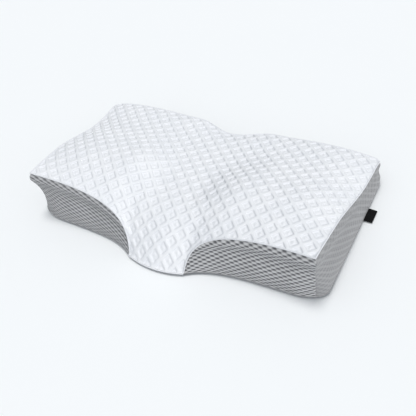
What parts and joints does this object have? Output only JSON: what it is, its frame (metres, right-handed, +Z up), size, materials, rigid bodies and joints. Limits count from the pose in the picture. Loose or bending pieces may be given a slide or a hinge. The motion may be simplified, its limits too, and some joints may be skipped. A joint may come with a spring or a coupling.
{
  "type": "contoured neck support pillow",
  "caption": "Contoured neck-support pillow with a foam core, a sewn liner and a zipped quilted cover; the zip slider runs along the back and carries a hinged pull tab.",
  "frame": {"origin": "on the flat underside, on the middle line, in line with the top panel's front corners", "axes": "+X along the pillow's length to the sleeper's right, +Y from the neck edge to the back, +Z up"},
  "size_m": [0.6493, 0.3731, 0.1112],
  "materials": {
    "foam": "matte moulded polyurethane foam skin",
    "liner_knit": "thin plain knit",
    "quilted_white": "white double knit with raised square quilting",
    "base_grey": "plain grey knit",
    "mesh_grey": "grey spacer mesh with rows of long holes",
    "zip_tape": "woven polyester tape",
    "zip_coil": "nylon coil",
    "zip_metal": "plated zinc",
    "label_black": "black woven ribbon"
  },
  "bodies": {
    "pillow": {"foam_core": "foam", "liner_top": "liner_knit", "liner_wall": "liner_knit", "liner_base": "liner_knit", "cover_top_panel": "quilted_white", "cover_bottom_panel": "base_grey", "gusset_front_left": "mesh_grey", "gusset_front_right": "mesh_grey", "gusset_left_side": "mesh_grey", "gusset_right_side": "mesh_grey", "gusset_back_upper": "mesh_grey", "gusset_back_lower": "mesh_grey", "zip_tape_upper": "zip_tape", "zip_tape_lower": "zip_tape", "zip_coil_upper": "zip_coil", "zip_coil_lower": "zip_coil", "zip_top_stop": "zip_metal", "zip_bottom_stop": "zip_metal", "zip_end_tab_left": "mesh_grey", "zip_end_tab_right": "mesh_grey"},
    "zip_slider": {"slider_body": "zip_metal", "slider_bridge": "zip_metal"},
    "zip_pull": {"pull_tab": "zip_metal"},
    "label": {"side_label": "label_black"}
  },
  "joints": [
    {"name": "slider_run", "type": "slide", "parent": "pillow", "child": "zip_slider", "axis": [-1, 0, 0], "range_m": [0, 0.469]},
    {"name": "pull_swing", "type": "hinge", "parent": "zip_slider", "child": "zip_pull", "pos_m": [0.2345, 0.31725, 0.016], "axis": [0, 0, -1], "range_deg": [0, 160]},
    {"name": "label_flex", "type": "hinge", "parent": "pillow", "child": "label", "pos_m": [0.3168, 0.205, 0.0029], "axis": [0, -1, 0], "range_deg": [-6, 80], "stiffness_Nm_per_rad": 0.002}
  ]
}
